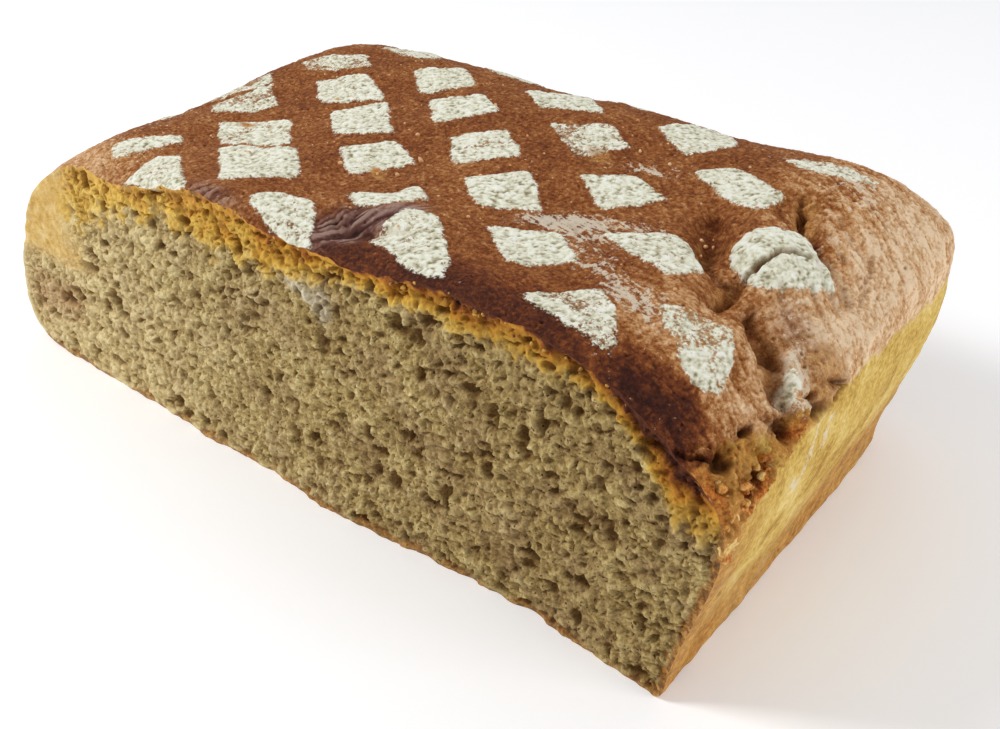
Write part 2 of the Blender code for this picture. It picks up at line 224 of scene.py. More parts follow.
def layered(points, *layers):
    """The sum of several grains, each given by its amount, size and seed."""
    return sum(amount * grain(points, size, seed) for amount, size, seed in layers)


def hollows(u, v, size, seed, low, high, share=1.0):
    """Round hollows strewn over a plane, one to a cell of the given size: their depth, 0 between them."""
    cu, cv = np.floor(u / size).astype(np.int64), np.floor(v / size).astype(np.int64)
    depth = np.zeros_like(u)
    for du in (-1, 0, 1):
        for dv in (-1, 0, 1):
            i, j = cu + du, cv + dv
            x = (i + 0.1 + 0.8 * scatter(i, j, 0, seed)) * size
            y = (j + 0.1 + 0.8 * scatter(i, j, 1, seed)) * size
            radius = size * (low + (high - low) * scatter(i, j, 2, seed) ** 2)
            stretch = 0.7 + 0.75 * scatter(i, j, 3, seed)
            there = scatter(i, j, 4, seed) < share
            reach = ((u - x) / (radius * stretch)) ** 2 + ((v - y) * stretch / radius) ** 2
            depth = np.maximum(depth, there * radius * np.sqrt(np.maximum(0.0, 1 - reach)))
    return depth


def wall_reach(x, z):
    """How far each end stands from the middle at height z: the right end leans out, the left one slumps."""
    right = HALF_LENGTH - RIGHT_LEAN * (1 - smooth(z / LEAN_HEIGHT))
    under = np.clip(1 - z / LEFT_FOOT_HEIGHT, 0, 1)
    lean = np.maximum(z - LEFT_FOOT_HEIGHT, 0) / (WALL_TOP - LEFT_FOOT_HEIGHT)
    left = HALF_LENGTH - LEFT_FOOT * (1 - np.sqrt(1 - under**2)) - LEFT_SLUMP * lean**LEFT_SLUMP_POWER
    return np.where(x > 0, right, left)


def curve(values, index, t):
    """A smooth curve through evenly read values, at share t of interval index."""
    last = values.shape[-1] - 1
    column = np.arange(values.shape[0]) if values.ndim == 2 else None

    def read(k):
        k = np.clip(k, 0, last)
        return values[k] if column is None else values[column, k]

    before, start, end, after = read(index - 1), read(index), read(index + 1), read(index + 2)
    bend = 2 * before - 5 * start + 4 * end - after
    return start + 0.5 * t * (end - before + t * (bend + t * (3 * (start - end) + after - before)))


def station(places, value):
    """Which interval of the stations each value is in, and its share of it."""
    value = np.clip(value, places[0], places[-1])
    index = np.clip(np.searchsorted(places, value) - 1, 0, len(places) - 2)
    return index, (value - places[index]) / (places[index + 1] - places[index])


def dome_lift(x, y):
    column, share_x = station(DOME_X, x)
    row, share_y = station(DOME_Y, y)
    lines = np.stack([curve(line, column, share_x) for line in DOME_LIFT], axis=1)
    return curve(lines, row, share_y) / 1000


def spot(x, y, place):
    """1 at the middle of an oval spot, fading to 0 round it."""
    cx, cy, along, across = (value / 1000 for value in place[:4])
    angle = math.radians(place[4])
    u = ((x - cx) * math.cos(angle) + (y - cy) * math.sin(angle)) / along
    v = ((y - cy) * math.cos(angle) - (x - cx) * math.sin(angle)) / across
    return np.exp(-(u * u + v * v))


def spot_sum(x, y, places):
    """The sum of several spots, each with its amount as the last value."""
    return sum(place[5] * spot(x, y, place) for place in places)


def loaf_form(box_points):
    """Where the points of a plain box go on the loaf: rounded shoulders, the uneven dome, leaning walls."""
    x, y, z = box_points.T
    shoulder = np.where(x > 0, RIGHT_SHOULDER, LEFT_SHOULDER)
    fx = np.maximum(0, (abs(x) - HALF_LENGTH + shoulder) / shoulder)
    fy = np.maximum(0, (y - BACK_Y + BACK_SHOULDER) / BACK_SHOULDER)
    fz = np.maximum(0, (z - WALL_TOP) / (CROWN - WALL_TOP))
    plan = (fx**CORNER_POWER + fy**CORNER_POWER) ** (1 / CORNER_POWER)
    spread = (plan**SHOULDER_POWER + fz**SHOULDER_POWER) ** (1 / SHOULDER_POWER)
    keep = np.maximum(np.maximum(fx, fy), fz) / np.maximum(spread, 1e-9) - 1
    keep = np.where(spread > 0, keep, 0)
    x = x + np.sign(x) * fx * keep * shoulder
    y = y + fy * keep * BACK_SHOULDER
    z = z + fz * keep * (CROWN - WALL_TOP)
    lift = dome_lift(x, y) - CUT_ROLL * np.exp(-(y - CUT_Y) / CUT_ROLL_REACH)
    lift = lift + spot_sum(x, y, TOP_SPOTS) / 1000 + TOP_WAVE * grain(points_at(x, y), 0.024, 3)
    z = z + lift * smooth((z - WALL_TOP / 2) / (WALL_TOP / 2))
    rise = np.maximum(0, 1 - z / BASE_EDGE)
    inset = BASE_EDGE * 0.6 * (1 - np.sqrt(np.maximum(0, 1 - rise**2)))
    back = DEPTH - BACK_LEAN * (1 - smooth(z / LEAN_HEIGHT))
    from_cut = (y - CUT_Y) * (back - inset) / DEPTH
    lean = CUT_LEAN * smooth((z - CUT_LEAN_FROM) / (CUT_LEAN_TO - CUT_LEAN_FROM))
    from_cut = from_cut + lean * (1 - smooth(from_cut / CUT_LEAN_REACH))
    x = x * (wall_reach(x, z) - inset) / HALF_LENGTH
    foot = np.interp(x, CUT_FOOT_X, CUT_FOOT) * (1 - smooth(z / CUT_FOOT_HEIGHT))
    foot = foot * (1 - smooth(from_cut / CUT_LEAN_REACH))
    return points_at(x, CUT_Y + from_cut + foot, z)


def ragged_edge(points, box_points):
    """The knife tears the crust as it goes, so the cut's outline wanders a little, on both sides alike."""
    x, y, z = box_points.T
    to_top = np.hypot(CROWN - z, y - CUT_Y)
    to_foot = np.hypot(z, y - CUT_Y)
    to_end = np.hypot(HALF_LENGTH - abs(x), y - CUT_Y)
    line = points_at(x, z * 0.9)
    wander = layered(line, (0.7, 0.0048, 21), (0.4, 0.0019, 22))
    close = np.exp(-np.minimum(np.minimum(to_top, to_foot * 1.3), to_end) / 0.0022)
    moved = points.copy()
    moved[:, 1] += RAGGED * wander * close
    rise = layered(line, (0.8, 0.0036, 23), (0.4, 0.0015, 24))
    moved[:, 2] += RAGGED * rise * np.exp(-to_top / 0.0022)
    return moved


def loaf_surface(box_points):
    """The finished form without its small relief."""
    return ragged_edge(loaf_form(box_points), box_points)


def face_points(origin, across, up, columns, rows):
    """Points of one face of the plain box, row by row."""
    v, u = np.meshgrid(np.linspace(0, 1, rows + 1), np.linspace(0, 1, columns + 1), indexing="ij")
    u, v = u.reshape(-1, 1), v.reshape(-1, 1)
    return np.array(origin) + u * np.array(across) + v * np.array(up)


def outward(points, columns, rows):
    """The direction that the surface faces at each point of a grid."""
    grid = points.reshape(rows + 1, columns + 1, 3)
    normal = np.cross(np.gradient(grid, axis=1), np.gradient(grid, axis=0)).reshape(-1, 3)
    return normal / np.maximum(np.linalg.norm(normal, axis=1, keepdims=True), 1e-12)


def skin_piece(name, points, columns, rows, fields):
    """A stretch of the loaf's surface as a closed piece: a grid laid on the points, its border drawn in
    towards the loaf's centre and gathered behind it. The fields are kept on it for its material."""
    bpy.ops.object.select_all(action="DESELECT")
    bpy.ops.mesh.primitive_grid_add(x_subdivisions=columns, y_subdivisions=rows, size=1)
    piece = bpy.context.object
    piece.name = piece.data.name = name
    piece.data.vertices.foreach_set("co", (points - MIDDLE).astype(np.float32).ravel())
    for layer in list(piece.data.uv_layers):
        piece.data.uv_layers.remove(layer)
    for field, values in fields.items():
        attribute = piece.data.attributes.new(field, "FLOAT", "POINT")
        attribute.data.foreach_set("value", np.clip(values, 0, 1).astype(np.float32))
    bpy.ops.object.mode_set(mode="EDIT")
    bpy.ops.mesh.select_mode(type="EDGE")
    bpy.ops.mesh.select_all(action="DESELECT")
    bpy.ops.mesh.select_non_manifold(extend=False)
    bpy.ops.mesh.extrude_region_move()
    bpy.ops.transform.resize(value=(SKIRT, SKIRT, SKIRT), center_override=LOAF_CENTRE)
    bpy.ops.mesh.extrude_region_move()
    bpy.ops.mesh.merge(type="CENTER")
    bpy.ops.object.mode_set(mode="OBJECT")
    bpy.ops.object.shade_smooth_by_angle(angle=math.radians(80))
    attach(piece, "root")
    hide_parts("loaf")
    return piece


def shade(red, green, blue):
    """A colour as it is seen on a screen, 0 to 255, turned into light."""
    values = np.array((red, green, blue)) / 255
    return (*np.where(values > 0.04045, ((values + 0.055) / 1.055) ** 2.4, values / 12.92), 1.0)


class Finish:
    """A material built step by step: fields and grain in, graded and blended colours out."""

    def __init__(self, name, roughness, specular):
        self.material = bpy.data.materials.new(name)
        self.material.use_nodes = True
        self.nodes = self.material.node_tree.nodes
        self.links = self.material.node_tree.links
        self.shader = self.nodes["Principled BSDF"]
        self.shader.inputs["Roughness"].default_value = roughness
        self.shader.inputs["Specular IOR Level"].default_value = specular
        self.place = self.nodes.new("ShaderNodeTexCoord").outputs["Object"]

    def field(self, name):
        node = self.nodes.new("ShaderNodeAttribute")
        node.attribute_name = name
        return node.outputs["Fac"]

    def speckle(self, size, detail=3.0, rough=0.55):
        node = self.nodes.new("ShaderNodeTexNoise")
        node.inputs["Scale"].default_value = 1 / size
        node.inputs["Detail"].default_value = detail
        node.inputs["Roughness"].default_value = rough
        self.links.new(self.place, node.inputs["Vector"])
        return node.outputs["Fac"]

    def sum(self, first, first_share, second, second_share):
        """first * first_share + second * second_share."""
        scaled = self.nodes.new("ShaderNodeMath")
        scaled.operation = "MULTIPLY"
        self.links.new(first, scaled.inputs[0])
        scaled.inputs[1].default_value = first_share
        total = self.nodes.new("ShaderNodeMath")
        total.operation = "MULTIPLY_ADD"
        self.links.new(second, total.inputs[0])
        total.inputs[1].default_value = second_share
        self.links.new(scaled.outputs[0], total.inputs[2])
        return total.outputs[0]

    def graded(self, value, stops):
        """Colours at places along a value."""
        node = self.nodes.new("ShaderNodeValToRGB")
        ramp = node.color_ramp
        while len(ramp.elements) < len(stops):
            ramp.elements.new(0.5)
        for element, (place, colour) in zip(ramp.elements, stops):
            element.position = place
            element.color = colour
        self.links.new(value, node.inputs[0])
        return node.outputs[0]

    def share(self, value, low, high):
        """0 below low and 1 above high."""
        node = self.nodes.new("ShaderNodeMapRange")
        node.interpolation_type = "SMOOTHSTEP"
        node.inputs["From Min"].default_value = low
        node.inputs["From Max"].default_value = high
        self.links.new(value, node.inputs["Value"])
        return node.outputs["Result"]

    def blend(self, share, below, above, mode="MIX"):
        node = self.nodes.new("ShaderNodeMix")
        node.data_type = "RGBA"
        node.blend_type = mode
        for socket, value in ((0, share), (6, below), (7, above)):
            if isinstance(value, (tuple, float)):
                node.inputs[socket].default_value = value
            else:
                self.links.new(value, node.inputs[socket])
        return node.outputs[2]

    def coat(self, colour, height, distance):
        """Sets the finished colour and the fine relief."""
        self.links.new(colour, self.shader.inputs["Base Color"])
        bump = self.nodes.new("ShaderNodeBump")
        bump.inputs["Distance"].default_value = distance
        bump.inputs["Strength"].default_value = 1.0
        self.links.new(height, bump.inputs["Height"])
        self.links.new(bump.outputs[0], self.shader.inputs["Normal"])
        return self.material


def crumb_finish():
    """Grey-beige crumb, golden to dark brown under the crust, with brown painted shade in its hollows and painted
    light on its left.
    """
    f = Finish("crumb", 0.82, 0.25)
    mottle = f.sum(f.speckle(0.0022), 0.5, f.speckle(0.0007, 2.0), 0.5)
    crumb = f.graded(mottle, (
        (0.36, shade(166, 140, 84)), (0.5, shade(210, 188, 130)), (0.64, shade(236, 220, 166)),
    ))
    patch = f.share(f.speckle(0.016, 2.0), 0.42, 0.66)
    crumb = f.blend(patch, crumb, f.blend(0.35, crumb, shade(176, 146, 118)))
    bran = f.share(f.speckle(0.0011, 1.0), 0.66, 0.74)
    crumb = f.blend(bran, crumb, shade(122, 84, 48))
    # Painted light: the crumb is lightened towards the left of the cut, the side the key light falls from.
    crumb = f.blend(f.field("painted_left_light"), crumb, f.blend(0.75, crumb, shade(250, 232, 180)))
    crumb = f.blend(f.field("rosy"), crumb, shade(190, 140, 104))
    bake = f.sum(f.field("bake"), 1.0, f.speckle(0.0016), 0.26)
    golden = f.graded(bake, (
        (0.3, shade(244, 214, 126)), (0.55, shade(238, 192, 82)), (0.8, shade(216, 152, 52)),
        (0.94, shade(164, 94, 34)), (1.0, shade(96, 48, 22)),
    ))
    # The same painted light lightens the golden band towards the left.
    golden = f.blend(f.field("painted_left_light"), golden, f.blend(0.6, golden, shade(252, 216, 118)))
    colour = f.blend(f.share(bake, 0.24, 0.4), crumb, golden)
    straw = f.graded(f.speckle(0.003), (
        (0.3, shade(214, 170, 86)), (0.5, shade(236, 200, 124)), (0.7, shade(248, 222, 160)),
    ))
    colour = f.blend(f.field("straw"), colour, straw)
    rim = f.graded(f.speckle(0.0018, 3.0, 0.7), (
        (0.36, shade(96, 54, 24)), (0.5, shade(160, 104, 44)), (0.64, shade(206, 156, 84)),
    ))
    colour = f.blend(f.field("rim"), colour, rim)
    smear = f.sum(f.field("smear"), 1.0, f.speckle(0.0012, 3.0, 0.7), 1.0)
    colour = f.blend(f.share(smear, 0.75, 1.15), colour, shade(228, 220, 198))
    # Painted shade: the crumb is darkened and browned by the depth of its hollows, and more towards the right of
    # the cut.
    painted_hollow_shade = f.graded(f.field("painted_shade"), (
        (0.0, (1.0, 1.0, 1.0, 1.0)), (0.22, (0.93, 0.91, 0.86, 1.0)), (0.45, (0.72, 0.65, 0.53, 1.0)),
        (1.0, (0.3, 0.2, 0.11, 1.0)),
    ))
    colour = f.blend(1.0, colour, painted_hollow_shade, "MULTIPLY")
    return f.coat(colour, f.sum(f.speckle(0.0006, 2.0), 0.6, f.speckle(0.0012, 2.0), 0.4), 0.0005)


def band_share(x, z, top):
    """How far each point is from the crumb (0) up to the crust (1) through the golden band."""
    floor_height = np.interp(x, BAND_X, BAND_FLOOR)
    return (z - floor_height) / np.maximum(top - floor_height, 0.004)


def cut_relief(box_points, points, top_height):
    """Height of the crumb's lumps and hollows over the plain cut, and its painted shade, darker where a point
    lies deeper.
    """
    x, z = points[:, 0], points[:, 2]
    here = points_at(x, z)
    u = x + layered(here, (0.0008, 0.0024, 31), (0.00036, 0.001, 32))
    v = z + layered(here, (0.0008, 0.0024, 33), (0.00036, 0.001, 34))
    band = smooth((band_share(x, z, top_height) + 0.1) / 0.25)
    straw = smooth((-x - 0.084) / 0.016) * smooth((z - 0.034) / 0.01)
    pits = 1.1 * hollows(u, v, 0.0066, 41, 0.12, 0.38, 0.6) * (1 - band * 0.6)
    pits = np.maximum(pits, 1.2 * hollows(u, v, 0.0034, 42, 0.14, 0.42, 0.62))
    pits = np.maximum(pits, 1.1 * hollows(u, v, 0.0018, 43, 0.16, 0.42, 0.55))
    for px, pz, wide, high in np.array(LARGE_HOLES) / 1000:
        reach = ((u - px) / wide) ** 2 + ((v - pz) / high) ** 2
        pits = np.maximum(pits, HOLE_DEPTH * min(wide, high) * np.sqrt(np.maximum(0, 1 - reach)))
    honeycomb = np.maximum(1.4 * hollows(u * 0.85, v * 1.15, 0.005, 51, 0.2, 0.46, 0.75),
                           1.3 * hollows(u * 0.9, v * 1.1, 0.0023, 52, 0.2, 0.46, 0.8))
    pits = pits * (1 - band) + np.maximum(pits * 0.7, honeycomb) * band
    lumps = 0.42 * hollows(u + 0.011, v, 0.0027, 61, 0.4, 0.68)
    lumps = lumps + 0.42 * hollows(u, v + 0.007, 0.0014, 62, 0.38, 0.7)
    height = lumps * (1 - 0.65 * band) - 0.00072 + 0.0004 * band - pits * (1 - 0.75 * straw)
    height = (height + layered(here, *CRUMB_GRAIN)) * (1 - 0.75 * straw)
    bx, _, bz = box_points.T
    border = np.minimum(np.minimum(CROWN - bz, bz), HALF_LENGTH - abs(bx))
    fade = smooth(border / EDGE_FADE)
    return height * fade, np.clip(0.26 - height / 0.003, 0, 1) * fade


crumb_material = crumb_finish()
cut_rows = round(CROWN / CRUMB_STEP)
cut_columns = round(2 * HALF_LENGTH / CRUMB_PIECES / CRUMB_STEP)
for index in range(CRUMB_PIECES):
    width = 2 * HALF_LENGTH / CRUMB_PIECES
    start = (-HALF_LENGTH + index * width, CUT_Y, 0.0)
    box_points = face_points(start, (width, 0, 0), (0, 0, CROWN), cut_columns, cut_rows)
    plain = loaf_surface(box_points)
    top_height = np.tile(plain.reshape(cut_rows + 1, -1, 3)[-1, :, 2], cut_rows + 1)
    height, painted_shade = cut_relief(box_points, plain, top_height)
    points = plain + outward(plain, cut_columns, cut_rows) * height[:, None]
    x, z = points[:, 0], points[:, 2]
    here = points_at(x, z)
    straw = smooth((-x - 0.086 + 0.004 * grain(here, 0.006, 73)) / 0.014) * smooth((z - 0.035) / 0.009)
    right_rim = wall_reach(x, z) - abs(x) - 0.001 * (1 + 0.8 * grain(here, 0.004, 74))
    foot_line = (z - 0.0012 * (1 + layered(here, (1.3, 0.006, 75), (0.8, 0.0022, 76)))) / 0.001
    bake = (0.54 + 0.2 * smooth((x - 0.015) / 0.04)) * band_share(x, z, top_height)
    bake = bake + 0.34 * smooth((x - 0.098) / 0.014) + layered(here, (0.16, 0.005, 71), (0.1, 0.002, 72))
    fields = {
        # Painted shade: the hollows' shade, plus a shade that deepens towards the right of the cut, away from the
        # key light.
        "painted_shade": painted_shade + 0.2 * smooth((x + 0.02) / 0.12),
        "bake": 0.2 + bake,
        # Painted light: rises towards the left end of the cut.
        "painted_left_light": smooth((-x + 0.01) / 0.11) * 0.9,
        "rosy": spot_sum(x, z, ROSY_PATCHES),
        "straw": straw * (1 - smooth((z - top_height + 0.0032) / 0.0024)),
        "rim": np.maximum(smooth(1 - right_rim / 0.0016) * 0.9 * (x > 0), smooth(1 - foot_line) * 0.8),
        "smear": spot_sum(x, z, SMEARS),
    }
    piece = skin_piece(f"crumb_{index + 1}", points, cut_columns, cut_rows, fields)
    piece.data.materials.append(crumb_material)

# The top crust: dough proofed in a mould that left a lattice, dusted with flour and baked. Flour stays in
# diamonds, the brown skin between them is fine and matt, creased at the right end, split across one diamond.
TOP_STEP = 0.0003
TOP_PIECES = 5
# Floured diamonds, in millimetres: corners west, north, east, south, then how worn the flour is
DIAMONDS = (
    ((4, -1), (15, 10.5), (29, 0.5), (15.7, -13), 0.22),
    ((-19, 16), (-5, 26), (6, 18.5), (-5, 3), 0.1),
    ((-38, 30), (-27, 42), (-13.5, 32), (-24, 18), 0.1),
    ((-65, 13), (-50, 21.5), (-30, 10), (-46, -2), 0.16),
    ((-39, -4.5), (-29, 9), (-11, -8), (-25, -17), 0.1),
    ((-18, -22), (-6.5, -11), (7, -18), (-4, -33), 0.12),
    ((4, -41.5), (14, -32.6), (19, -38), (12, -45.5), 0.1),
    ((13, -34), (16, -26.5), (24.5, -32.5), (19, -38.5), 0.1),
    ((23, -54), (25.5, -40), (31.5, -37.3), (39.5, -43), (51.5, -54), (53.5, -61.5), (44, -61), 0.2),
    ((-16, -58), (-14.5, -55.5), (-9, -50), (1, -49.5), (14, -64), (8, -66.5), (-8, -61.5), 0.18),
    ((-50.5, -38), (-29.5, -27.8), (-12.8, -42), (-27, -56.5), 0.1),
    ((-68, -24), (-48, -12.5), (-31.3, -27.5), (-50.8, -37), 0.26),
    ((-82, -16), (-76, 6), (-60, -7), (-72, -22), 0.34),
    ((-79.5, -53), (-78, -49.5), (-67, -37), (-62.6, -41), (-73, -60), 0.22),
    ((-62.5, -64), (-62.5, -50), (-55.6, -47.5), (-31.5, -64.5), 0.16),
    ((23, -17), (35, -5), (51, -19), (35, -27), 0.08),
    ((44, -33), (60, -24.5), (73, -34.5), (60, -46), 0.1),
    ((69, -55.5), (82.8, -41), (92.5, -47.5), (99.5, -59.5), (86, -58.8), 0.26),
    ((0, 37), (15, 50), (31, 35), (14, 27), 0.08),
    ((23, 20), (37, 29), (50, 20), (41, 7), 0.34),
    ((47, 0.5), (58.5, 10), (72, 4), (61, -9.5), 0.1),
    ((67.5, -20.5), (84, -8.5), (97, -18.5), (92, -28.5), 0.16),
    ((94, -38.7), (104.5, -32.5), (112.5, -31.2), (119.4, -46.6), (114.5, -52), 0.36),
    ((47.5, 36), (52, 47), (64, 49), (71.5, 40), (64.5, 25), 0.12),
    ((69, 20), (80, 26.5), (96.5, 19.5), (94, 9.5), (82, 11.5), 0.14),
    ((96.5, -8), (96.5, 0), (106, 8.2), (112, 7), (121.6, -1), (111.2, -16), (104, -16), 0.12),
    ((84, 36), (98, 42), (114, 42.5), (108, 36), (95, 32), 0.24),
    ((-81, 22.5), (-62, 35.5), (-51.5, 25.5), (-71.6, 15.8), 0.36),
    ((-66, 44), (-50, 55), (-38, 44), (-50, 38), 0.25),
    ((-29, 52), (-15, 60), (-2, 52), (-14, 45), 0.22),
    ((15, 55), (28, 62), (42, 55), (30, 48), 0.22),
    ((-96, -10), (-86, 14), (-76.5, 5), (-86, -13), 0.4),
    ((-101, -38), (-86, -24.5), (-83, -28), (-96, -43), 0.3),
    ((120.5, -24.5), (123.5, -22), (128, -29), (129, -37), (126.5, -38), (123.5, -31), 0.42),
)
CORNER_ROUND = 0.0009
# Loose flour between the diamonds: x, y, reach along, reach across, turn in degrees, how thick
DUST = (
    (56, -20.5, 12, 3.4, 28, 0.6),
    (70, -13.5, 12, 3.6, 20, 0.65),
    (76, -34, 16, 5.5, -22, 0.5),
    (92, -40, 9, 5, -22, 0.65),
    (62, -22, 16, 10, -20, 0.25),
    (124.5, -26.5, 5, 4.5, -60, 0.95),
    (127.5, -33, 3, 4.5, -60, 0.8),
    (118, -15, 9, 6, -40, 0.3),
    (104, 36, 20, 7, -10, 0.62),
    (60, 13.5, 10, 4, 25, 0.6),
    (66, -22.5, 12, 4.5, 0, 0.45),
    (113, 14, 14, 14, 0, 0.3),
    (40, 16, 10, 8, 0, 0.3),
    (30, -46, 12, 6, 20, 0.25),
    (-74, -52, 16, 10, 20, 0.3),
    (-90, -30, 20, 20, 0, 0.28),
    (10, -24, 14, 8, -30, 0.15),
)
# Creases and the split, as lines of points on the plan in millimetres, with width and depth
CREASES = (
    (((103.8, -15.9), (105.0, -11.4), (106.4, -7.6), (106.9, -4.0), (109.2, -1.0), (112.5, 0.9)), 0.92, 4.2, 0.0),
    (((85, 4), (89, -1), (91.5, -6), (92.7, -12.5)), 1.8, 1.8, 0.25),
    (((92.7, -12.5), (98, -15.5), (102.5, -15.4)), 1.5, 1.2, 0.25),
    (((102.5, -15.4), (103.8, -19.9), (103.9, -26.5)), 1.2, 2.4, 0.35),
    (((111.5, -23.5), (116, -25.8), (120.0, -28.6), (124.4, -34), (126.6, -35.8)), 2.2, 3.6, 0.55),
    (((100.2, 21.2), (101.6, 17.6), (103.6, 14.6), (105.4, 13.1)), 0.75, 3.4, 0.9),
    (((107.6, 11.5), (110.5, 8.6), (113.6, 5.8), (119.6, 2.4), (124, 0)), 1.6, 2.2, 0.35),
    (((107, 15), (112, 11.5), (118, 9.5)), 0.8, 1.1, 0.25),
    (((111, 19), (117, 15), (122, 13)), 0.7, 0.8, 0.2),
    (((113.5, 2.5), (118.5, -2.5), (124, -4.5)), 0.9, 0.8, 0.25),
    (((96, 17), (99, 12), (104, 9.5)), 1.0, 0.9, 0.2),
    (((60, -20), (68, -23), (78, -30)), 0.8, 0.5, 0.12),
    (((121.5, 17), (122.8, 13), (123.5, 9)), 0.7, 1.0, 0.2),
    (((124.9, 8), (125.6, 3)), 0.7, 0.8, 0.2),
    (((110, 31), (116, 29), (120, 27)), 0.6, 0.7, 0.15),
    (((117, -6), (121, -9), (125, -11)), 0.8, 0.7, 0.2),
    (((112, -12), (117, -17), (121, -19)), 0.8, 0.7, 0.2),
    (((5, -49), (12, -52.5), (20, -53), (31, -48)), 1.3, 1.0, 0.2),
)
# Places where the skin broke or wore through to golden crumb: x, y, reach along, reach across, turn, how much
GOLD = (
    (2, -27.5, 6, 2.2, -25, 0.85),
    (-58, -21.2, 6.5, 2.4, 12, 0.7),
    (90.5, -7, 7, 4, -60, 0.45),
    (103.5, -21, 7.5, 3.4, -85, 0.6),
    (103, 17, 6.6, 3, -60, 1.1),
    (105.5, -9.5, 4, 1.4, 66, 0.55),
    (129, -20, 3.5, 7, 10, 0.9),
    (120.5, -29.5, 9, 3.6, -45, 0.6),
    (44, 12.5, 8.5, 4.2, -30, 0.55),
    (112, -44, 4, 3, 0, 0.45),
    (120, -19, 12, 7, -40, 0.2),
)
# Skin that folded up as the loaf rose, purplish and finely pleated: x, y, reach along, across, turn, how much
PLEATED = (
    (13, -53, 12, 8.5, 75, 1.0),
    (24, -42, 9, 5, 60, 0.8),
    (-24, -62, 14, 5, 0, 0.6),
    (56, -20.5, 13, 4, 28, 0.6),
    (120.5, -19, 12, 8.5, -45, 0.48),
)
# Where the skin is lighter or darker than it is around: x, y, reach along, reach across, turn, how much
TONE_SPOTS = (
    (114, 6, 12, 5, -32, -0.22),
    (90, -4, 12, 8, -60, -0.12),
    # Painted light: the front-right corner is lightened where the lamps reach it weakly.
    (123, -52, 6, 7, 0, 0.06),
    (121, -36, 10, 8, -50, -0.14),
    (120.5, -20, 12, 9, -45, -0.16),
    (114, -63, 14, 8.5, -8, -0.4),
)
# The right wall: the height of the tear along it, the depth of the torn strip below, rusty patches in the
# strip as y, z, reach along, reach up, turn, how much, and smears of flour as lines in millimetres
TEAR_Y = (-0.066, -0.05, -0.035, -0.027, 0.0, 0.06)
TEAR_HEIGHT = (0.07, 0.07, 0.0685, 0.0665, 0.064, 0.061)
STRIP_Y = (-0.066, -0.05, -0.03, -0.014)
STRIP_DEPTH = (0.0175, 0.013, 0.005, 0.0012)
RUSTY_PATCHES = (
    (-53, 60, 6.5, 5, 20, 1.0),
    (-37, 66, 6, 2.6, 0, 0.8),
    (-64.5, 66, 3, 5, 0, 0.8),
)
WALL_SMEARS = (((-36, 51), (-33, 46)), ((-26, 62), (-29, 55), (-32, 49)), ((-20, 60), (-22, 53)))
# Gaps under the torn edge of the top crust, on the right wall, dented and filled with painted shade: y, z, half
# width, half height
TEAR_HOLES = (
    (-40, 67.6, 2.2, 2.6),
    (-28, 66.2, 2.6, 1.4),
    (-20.5, 65.4, 2.2, 1.1),
    (-15, 65.5, 2.4, 0.9),
    (-53, 64, 1.3, 2.8),
    (-59, 69, 2, 1.4),
)
# The first crease is the split: open, filled with painted shade and without a raised rim
SPLIT_LINE = 0


def patch_depth(x, y, corners):
    """How far inside a patch with rounded corners each point is, in metres; negative outside it."""
    total = np.zeros_like(x)
    for (ax, ay), (bx, by) in zip(corners, corners[1:] + corners[:1]):
        ax, ay, bx, by = (value / 1000 for value in (ax, ay, bx, by))
        length = math.hypot(bx - ax, by - ay)
        edge = ((by - ay) * (x - ax) - (bx - ax) * (y - ay)) / length
        total = total + np.exp(-np.maximum(edge, -0.02) / CORNER_ROUND)
    return -CORNER_ROUND * np.log(total)


def line_distance(x, y, places):
    """How far each point is from a line through places, in metres."""
    nearest = np.full_like(x, 1.0)
    for (ax, ay), (bx, by) in zip(places, places[1:]):
        ax, ay, bx, by = (value / 1000 for value in (ax, ay, bx, by))
        along = ((x - ax) * (bx - ax) + (y - ay) * (by - ay)) / ((bx - ax) ** 2 + (by - ay) ** 2)
        along = np.clip(along, 0, 1)
        nearest = np.minimum(nearest, np.hypot(x - ax - along * (bx - ax), y - ay - along * (by - ay)))
    return nearest


def grain_axes(points):
    """The two ways over the plan that the skin was drawn and squeezed in: down to the right, and across it."""
    x, y, _ = points.T
    drift = 0.0022 * grain(points, 0.008, 116)
    return x * 0.917 - y * 0.4 + drift, x * 0.4 + y * 0.917 + 0.0022 * grain(points, 0.008, 117)


def flour_fields(points):
    """Where flour lies: half at a diamond's edge, more inside it, and how worn it is there."""
    x, y, z = points.T
    flat = points_at(x, y)
    xw = x + layered(flat, (0.0006, 0.006, 81), (0.0003, 0.002, 82))
    yw = y + layered(flat, (0.0006, 0.006, 83), (0.0003, 0.002, 84))
    inside, wear = np.full_like(x, -1.0), np.full_like(x, 0.15)
    for *corners, worn in DIAMONDS:
        depth = patch_depth(xw, yw, tuple(corners))
        wear = np.where(depth > inside, worn, wear)
        inside = np.maximum(inside, depth)
    dust = spot_sum(x, y, DUST)
    wear = wear * (1 + 0.8 * grain(flat, 0.005, 85))
    along, across = grain_axes(points)
    streaks = abs(grain(points_at(along * 0.22, across, z), 0.0011, 86))
    dust = dust * (0.55 + 0.75 * smooth((0.4 - streaks) / 0.4))
    return np.clip(0.5 + inside / 0.012, 0, 1), wear, dust


def tear_line(y):
    """Height of the ragged line where the top crust meets the right wall."""
    return np.interp(y, TEAR_Y, TEAR_HEIGHT)


def torn_zone(points):
    """1 where the top crust tore off the right wall, in a strip that is tallest at the cut, and 0 elsewhere."""
    x, y, z = points.T
    tear, strip = tear_line(y), np.interp(y, STRIP_Y, STRIP_DEPTH)
    uneven = 0.0022 * grain(points, 0.005, 103)
    zone = smooth((z - tear + strip + uneven) / 0.003) * (1 - smooth((z - (tear + 0.0012)) / 0.0024))
    return zone * (x > 0.09) * smooth((-y - 0.008) / 0.012)


